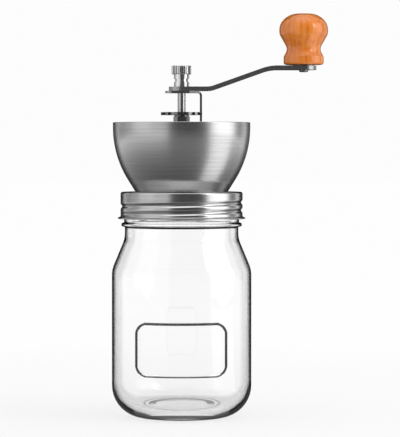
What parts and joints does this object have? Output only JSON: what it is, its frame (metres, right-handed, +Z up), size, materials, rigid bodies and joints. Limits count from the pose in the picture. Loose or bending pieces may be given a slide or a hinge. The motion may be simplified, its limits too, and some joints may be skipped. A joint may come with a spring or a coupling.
{
  "type": "hand crank coffee grinder",
  "caption": "Hand crank coffee grinder: steel hopper bowl with a conical burr set under a screw band on a glass jar, turned by a bent arm with a wooden knob.",
  "frame": {"origin": "middle of the jar's base, on the surface it stands on", "axes": "+Z up the shaft, +X along the crank arm at rest"},
  "size_m": [0.1362, 0.088, 0.2544],
  "materials": {
    "glass": "clear pressed glass",
    "silicone": "matt silicone",
    "brushed_steel": "fine turned brushing",
    "polished_steel": "polished",
    "dark_steel": "blackened steel",
    "spring_steel": "drawn wire",
    "housing_plastic": "fine texture",
    "ceramic": "unglazed fine ceramic",
    "brass": "turned",
    "wood": "varnished"
  },
  "bodies": {
    "jar": {"glass_jar": "glass"},
    "seal": {"jar_seal": "silicone"},
    "head": {"screw_band": "brushed_steel", "hopper_bowl": "brushed_steel", "bridge": "polished_steel", "upper_bush": "polished_steel", "bush_nut": "polished_steel", "burr_housing": "housing_plastic", "housing_screws": "polished_steel", "lower_bush": "brass", "outer_burr": "ceramic", "burr_retainer": "housing_plastic", "retainer_screws": "polished_steel"},
    "adjuster": {"adjusting_wheel": "dark_steel", "burr_spring": "spring_steel"},
    "crank": {"drive_shaft": "polished_steel", "thrust_washer": "polished_steel", "inner_burr": "ceramic", "burr_washer": "polished_steel", "burr_nut": "polished_steel", "lock_plate": "polished_steel", "crank_arm": "polished_steel", "cap_nut": "polished_steel", "knob_pin": "dark_steel", "knob_washer": "dark_steel"},
    "handle": {"knob": "wood", "knob_bush": "brass"}
  },
  "joints": [
    {"name": "head_lift", "type": "slide", "parent": "jar", "child": "seal", "axis": [0, 0, 1], "range_m": [0, 0.0063]},
    {"name": "head_turn", "type": "hinge", "parent": "seal", "child": "head", "pos_m": [0, 0, 0.1422], "axis": [0, 0, 1], "range_deg": [0, 450]},
    {"name": "crank_spin", "type": "hinge", "parent": "head", "child": "adjuster", "pos_m": [0, 0, 0.1912], "axis": [0, 0, 1], "continuous": true},
    {"name": "grind_gap", "type": "slide", "parent": "adjuster", "child": "crank", "axis": [0, 0, 1], "range_m": [-0.0008, 0.0003], "deforming": ["burr_spring"]},
    {"name": "knob_spin", "type": "hinge", "parent": "crank", "child": "handle", "pos_m": [0.0769, 0, 0.222], "axis": [0, 0, 1], "continuous": true}
  ],
  "couplings": [
    {"joint": "head_lift", "follows": "head_turn", "m_per_rad": 0.00079577}
  ]
}
